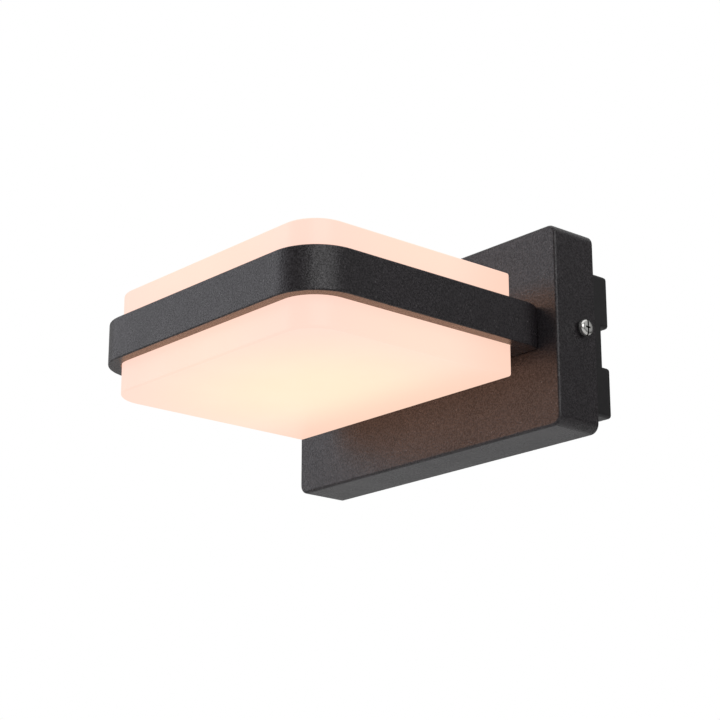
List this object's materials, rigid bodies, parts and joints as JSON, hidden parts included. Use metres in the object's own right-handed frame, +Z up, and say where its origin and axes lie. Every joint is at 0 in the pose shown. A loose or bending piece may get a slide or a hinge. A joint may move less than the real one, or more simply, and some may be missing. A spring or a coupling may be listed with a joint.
{
  "type": "outdoor wall lantern",
  "caption": "Outdoor wall light: flat square head with glowing opal covers above and below a dark band, on a rectangular wall canopy.",
  "frame": {"origin": "centre of the upper wall pad's rear face, in the plane of the wall", "axes": "+Y into the wall, -Y out into the open, +Z up, +X to the right seen from the front"},
  "size_m": [0.1988, 0.18, 0.1],
  "materials": {
    "charcoal_powder_coat": "fine textured charcoal powder coat on die-cast aluminium",
    "black_moulding": "matt black moulded glass-filled nylon",
    "opal_diffuser": "satin opal polycarbonate, lit from inside by warm white emitters",
    "stainless_steel": "bright stainless steel",
    "zinc_steel": "bright zinc plate",
    "brass": "bright brass",
    "grey_silicone": "matt grey silicone",
    "black_rubber": "matt black EPDM",
    "white_board": "white solder resist on an aluminium board",
    "white_driver_case": "matt white moulded case",
    "natural_nylon": "natural nylon",
    "brown_lead": "brown insulation",
    "blue_lead": "blue insulation",
    "green_yellow_lead": "green and yellow insulation",
    "red_lead": "red insulation",
    "black_lead": "black insulation"
  },
  "bodies": {
    "lantern": {"wall_bracket": "black_moulding", "perimeter_seal": "black_rubber", "entry_grommet": "black_rubber", "terminal_block": "natural_nylon", "clamp_screw_1": "brass", "clamp_screw_2": "brass", "clamp_screw_3": "brass", "terminal_screw_1": "zinc_steel", "terminal_screw_2": "zinc_steel", "earth_screw": "brass", "earth_tag": "zinc_steel", "canopy": "charcoal_powder_coat", "led_driver": "white_driver_case", "driver_screw_1": "zinc_steel", "driver_screw_2": "zinc_steel", "head_frame": "charcoal_powder_coat", "head_seal": "black_rubber", "head_screw_1": "zinc_steel", "head_screw_2": "zinc_steel", "head_screw_3": "zinc_steel", "head_screw_4": "zinc_steel", "led_board_upper": "white_board", "led_board_lower": "white_board", "diffuser_upper": "opal_diffuser", "diffuser_lower": "opal_diffuser", "diffuser_seal_upper": "grey_silicone", "diffuser_seal_lower": "grey_silicone", "supply_lead_live": "brown_lead", "supply_lead_neutral": "blue_lead", "earth_lead": "green_yellow_lead", "driver_lead_positive": "red_lead", "driver_lead_negative": "black_lead", "link_lead_positive": "red_lead", "link_lead_negative": "black_lead", "board_screw_upper_1": "zinc_steel", "board_screw_upper_2": "zinc_steel", "board_screw_upper_3": "zinc_steel", "board_screw_upper_4": "zinc_steel", "board_screw_lower_1": "zinc_steel", "board_screw_lower_2": "zinc_steel", "board_screw_lower_3": "zinc_steel", "board_screw_lower_4": "zinc_steel"},
    "lock_washer_left": {"lock_washer_left": "black_rubber"},
    "lock_screw_left": {"lock_screw_left": "stainless_steel"},
    "lock_washer_right": {"lock_washer_right": "black_rubber"},
    "lock_screw_right": {"lock_screw_right": "stainless_steel"}
  },
  "joints": [
    {"name": "lock_washer_left_travel", "type": "slide", "parent": "lantern", "child": "lock_washer_left", "axis": [-1, 0, 0], "range_m": [0, 0.0049]},
    {"name": "lock_screw_left_turn", "type": "hinge", "parent": "lock_washer_left", "child": "lock_screw_left", "pos_m": [-0.0955, -0.0197, -0.0173], "axis": [-1, 0, 0], "range_deg": [0, 2520]},
    {"name": "lock_washer_right_travel", "type": "slide", "parent": "lantern", "child": "lock_washer_right", "axis": [1, 0, 0], "range_m": [0, 0.0049]},
    {"name": "lock_screw_right_turn", "type": "hinge", "parent": "lock_washer_right", "child": "lock_screw_right", "pos_m": [0.0955, -0.0197, -0.0173], "axis": [1, 0, 0], "range_deg": [0, 2520]}
  ],
  "couplings": [
    {"joint": "lock_screw_left_turn", "follows": "lock_washer_left_travel", "rad_per_m": 8976},
    {"joint": "lock_screw_right_turn", "follows": "lock_washer_right_travel", "rad_per_m": 8976}
  ]
}
